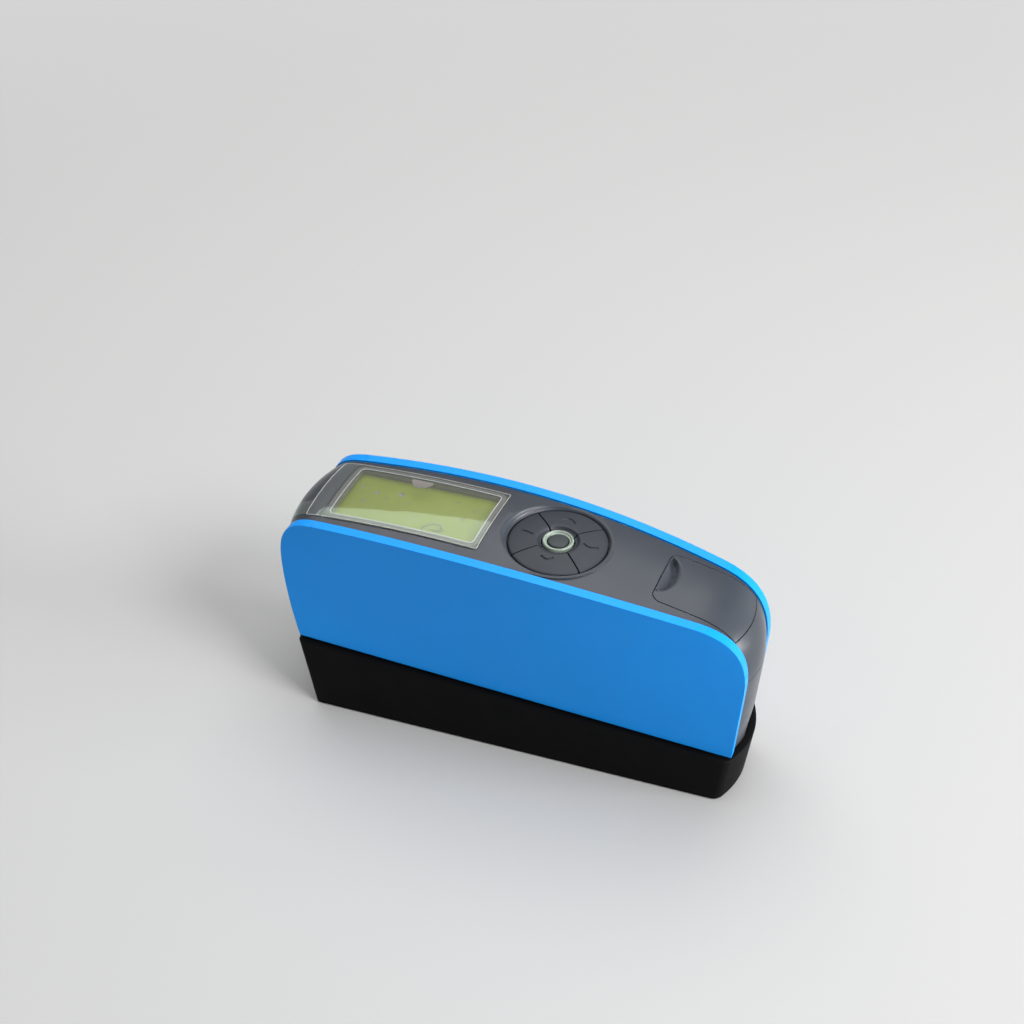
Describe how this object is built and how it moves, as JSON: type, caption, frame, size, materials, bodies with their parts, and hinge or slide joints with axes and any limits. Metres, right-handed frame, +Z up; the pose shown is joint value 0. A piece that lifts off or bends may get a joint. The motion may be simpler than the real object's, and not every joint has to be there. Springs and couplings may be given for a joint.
{
  "type": "gloss meter",
  "caption": "Hand-held gloss meter standing in its black calibration tray: blue side panels, dark cover with a green display under film, a round keypad and a battery door.",
  "frame": {"origin": "centre of the part's box in plan, at the height of the surface that it stands on", "axes": "+X along the meter's length, from the display end to the battery door end; +Z up; the sides face -Y and +Y"},
  "size_m": [0.1528, 0.0466, 0.0768],
  "materials": {
    "blue_panel": "moulded blue side panel, satin grain on the face and a smooth rounded rim",
    "cover": "moulded dark grey housing, fine even grain",
    "tray_black": "moulded black tray, fine grain",
    "key": "moulded dark grey silicone key",
    "ring": "translucent pale grey-green ring",
    "lcd_green": "reflective green liquid crystal panel, unpowered",
    "pale_frame": "moulded pale display surround",
    "clear": "clear acrylic window",
    "film": "thin clear protective film",
    "rubber": "black rubber",
    "board": "green solder mask on glass-epoxy board",
    "black_glass": "polished black glass standard",
    "lens_glass": "clear optical glass",
    "anodised": "black anodised aluminium",
    "cell": "plain jacketed cell with bare ends",
    "steel": "plated steel",
    "foam": "closed-cell foam pad"
  },
  "bodies": {
    "meter_and_tray": {"base_plate": "tray_black", "base_tray": "tray_black", "battery_cell": "cell", "battery_contact": "steel", "battery_holder": "cover", "battery_spring": "steel", "block_screw_1": "steel", "block_screw_2": "steel", "block_screw_3": "steel", "block_screw_4": "steel", "calibration_tile": "black_glass", "display_film": "film", "display_frame": "pale_frame", "display_window": "clear", "foot_strip_front": "rubber", "foot_strip_rear": "rubber", "key_board": "board", "key_sheet": "rubber", "lcd_glass": "lcd_green", "light_ring": "ring", "lower_housing": "cover", "main_board": "board", "optic_block": "anodised", "receiver_board": "board", "receiver_chip": "lens_glass", "receiver_holder": "anodised", "receiver_lens": "lens_glass", "side_panel_far": "blue_panel", "side_panel_near": "blue_panel", "source_board": "board", "source_chip": "lens_glass", "source_holder": "anodised", "source_lens": "lens_glass", "tile_pad": "foam", "top_cover": "cover", "tray_screw_1": "steel", "tray_screw_2": "steel", "tray_screw_3": "steel", "tray_screw_4": "steel"},
    "key_up": {"key_up": "key"},
    "key_down": {"key_down": "key"},
    "key_left": {"key_left": "key"},
    "key_right": {"key_right": "key"},
    "centre_button": {"centre_button": "key"},
    "battery_door": {"battery_door": "cover"}
  },
  "joints": [
    {"name": "key_up_press", "type": "slide", "parent": "meter_and_tray", "child": "key_up", "axis": [0, 0, -1], "range_m": [0, 0.00035], "stiffness_N_per_m": 600, "springref_m": -0.0003},
    {"name": "key_down_press", "type": "slide", "parent": "meter_and_tray", "child": "key_down", "axis": [0, 0, -1], "range_m": [0, 0.00035], "stiffness_N_per_m": 600, "springref_m": -0.0003},
    {"name": "key_left_press", "type": "slide", "parent": "meter_and_tray", "child": "key_left", "axis": [0, 0, -1], "range_m": [0, 0.00035], "stiffness_N_per_m": 600, "springref_m": -0.0003},
    {"name": "key_right_press", "type": "slide", "parent": "meter_and_tray", "child": "key_right", "axis": [0, 0, -1], "range_m": [0, 0.00035], "stiffness_N_per_m": 600, "springref_m": -0.0003},
    {"name": "centre_button_press", "type": "slide", "parent": "meter_and_tray", "child": "centre_button", "axis": [0, 0, -1], "range_m": [0, 0.00035], "stiffness_N_per_m": 600, "springref_m": -0.0003},
    {"name": "battery_door_hinge", "type": "hinge", "parent": "meter_and_tray", "child": "battery_door", "pos_m": [0.07197, 0, 0.06329], "axis": [0, 1, 0], "range_deg": [0, 80]}
  ]
}
